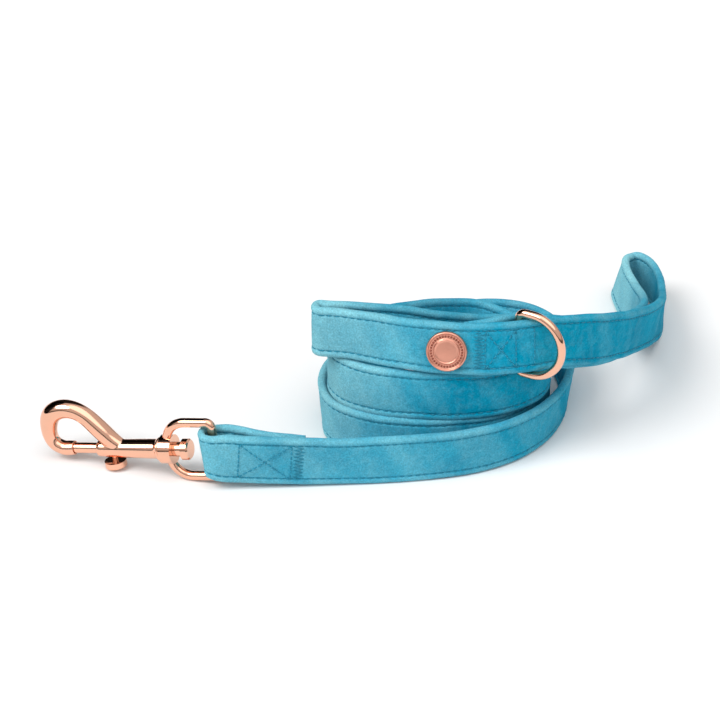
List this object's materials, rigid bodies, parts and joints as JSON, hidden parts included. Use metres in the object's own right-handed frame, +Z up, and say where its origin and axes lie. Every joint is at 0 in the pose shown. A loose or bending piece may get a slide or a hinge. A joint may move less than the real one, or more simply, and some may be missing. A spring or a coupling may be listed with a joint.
{
  "type": "dog lead",
  "caption": "Flat velvet dog lead with a swivel bolt snap, sewn hand loop, D-ring and rivet medallion, wound loosely and stood on its edge.",
  "frame": {"origin": "middle of the wound lead's footprint on the surface that it stands on", "axes": "+X along the front of the winding, from the snap towards the hand loop; +Y towards the back; +Z up"},
  "size_m": [0.2423, 0.1648, 0.0637],
  "materials": {
    "velvet": "short-pile velvet, turquoise",
    "webbing": "woven cotton webbing",
    "thread": "dark teal polyester thread",
    "rose_gold": "polished rose-gold plate on zinc alloy",
    "rose_gold_matt": "satin rose-gold plate",
    "spring_steel": "bright spring wire"
  },
  "bodies": {
    "strap": {"velvet_snap_fold": "velvet", "velvet_snap_end": "velvet", "velvet_floor_turn": "velvet", "velvet_inner_turn": "velvet", "velvet_first_rise": "velvet", "velvet_middle_turn": "velvet", "velvet_second_rise": "velvet", "velvet_top_turn": "velvet", "velvet_handle_front": "velvet", "velvet_handle_back": "velvet", "webbing_snap_fold": "webbing", "webbing_snap_end": "webbing", "webbing_floor_turn": "webbing", "webbing_inner_turn": "webbing", "webbing_first_rise": "webbing", "webbing_middle_turn": "webbing", "webbing_second_rise": "webbing", "webbing_top_turn": "webbing", "webbing_handle_front": "webbing", "webbing_handle_back": "webbing", "medallion_cap": "rose_gold_matt", "medallion_post": "rose_gold_matt", "medallion_back": "rose_gold_matt", "snap_cross_stitch": "thread", "snap_bar_tack": "thread", "handle_bar_tack": "thread", "handle_cross_stitch": "thread"},
    "eye": {"swivel_eye": "rose_gold"},
    "snap": {"snap_body": "rose_gold", "swivel_post": "rose_gold", "bolt_spring": "spring_steel"},
    "bolt": {"snap_bolt": "rose_gold", "thumb_knob": "rose_gold"},
    "ring": {"d_ring": "rose_gold"}
  },
  "joints": [
    {"name": "eye_pivot", "type": "hinge", "parent": "strap", "child": "eye", "pos_m": [-0.0562, -0.0767, 0.0143], "axis": [-0.1492, 0.047, 0.9877], "range_deg": [-60, 60]},
    {"name": "snap_swivel", "type": "hinge", "parent": "eye", "child": "snap", "pos_m": [-0.07363, -0.07121, 0.01141], "axis": [-0.942, 0.297, -0.1564], "continuous": true},
    {"name": "bolt_slide", "type": "slide", "parent": "snap", "child": "bolt", "axis": [0.942, -0.297, 0.1564], "range_m": [0, 0.0064], "stiffness_N_per_m": 400, "springref_m": -0.004, "deforming": ["bolt_spring"]},
    {"name": "ring_swing", "type": "hinge", "parent": "strap", "child": "ring", "pos_m": [0.0536, -0.06055, 0.05], "axis": [0, 0, -1], "range_deg": [0, 90]}
  ]
}
